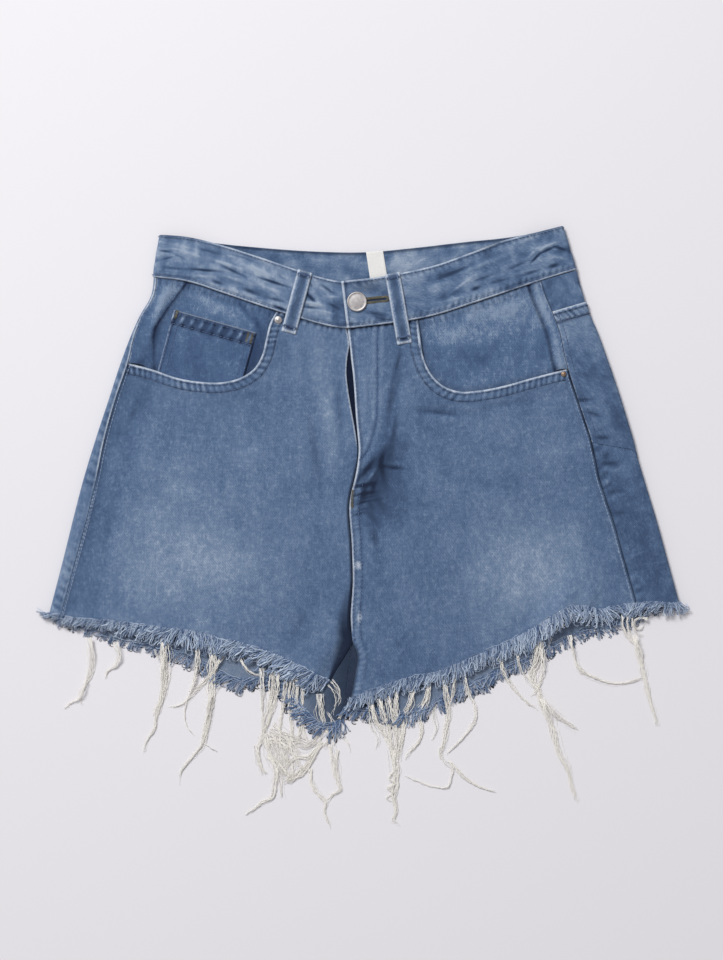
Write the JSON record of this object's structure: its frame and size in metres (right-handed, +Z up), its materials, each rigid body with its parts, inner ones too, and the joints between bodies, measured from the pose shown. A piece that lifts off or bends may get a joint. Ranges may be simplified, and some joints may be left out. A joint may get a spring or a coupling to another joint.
{
  "type": "denim shorts",
  "caption": "Cut-off denim shorts with frayed hems, laid flat on their back, with waistband, fly, scooped front pockets and patch back pockets.",
  "frame": {"origin": "middle of the garment's box, on the surface that the garment lies on", "axes": "+Z up out of the surface, +Y from the hems towards the waist, +X to the right as seen from above the front"},
  "size_m": [0.5548, 0.5119, 0.011],
  "materials": {
    "washed_denim": "matt stone-washed indigo twill",
    "unfaded_denim": "matt indigo twill, less faded",
    "frayed_cotton": "loose cotton threads, white and pale blue",
    "zip_tape": "matt woven tape",
    "woven_label": "matt white woven cloth, bare",
    "steel": "brushed, slightly worn",
    "brass": "aged, dull"
  },
  "bodies": {
    "root": {"front_left": "washed_denim", "front_right": "washed_denim", "back_left": "washed_denim", "back_right": "washed_denim", "back_pocket_left": "washed_denim", "back_pocket_right": "washed_denim", "pocket_facing_left": "unfaded_denim", "pocket_facing_right": "unfaded_denim", "coin_pocket": "unfaded_denim", "waistband": "washed_denim", "belt_loop_front_left": "washed_denim", "belt_loop_front_right": "washed_denim", "belt_loop_back_left": "washed_denim", "belt_loop_back_centre": "washed_denim", "belt_loop_back_right": "washed_denim", "fly_shield": "unfaded_denim", "zip": "zip_tape", "button": "steel", "rivet_left": "steel", "rivet_right": "brass", "neck_label": "woven_label", "fringe_front_left": "frayed_cotton", "fringe_front_right": "frayed_cotton", "fringe_back_left": "frayed_cotton", "fringe_back_right": "frayed_cotton"}
  },
  "joints": []
}
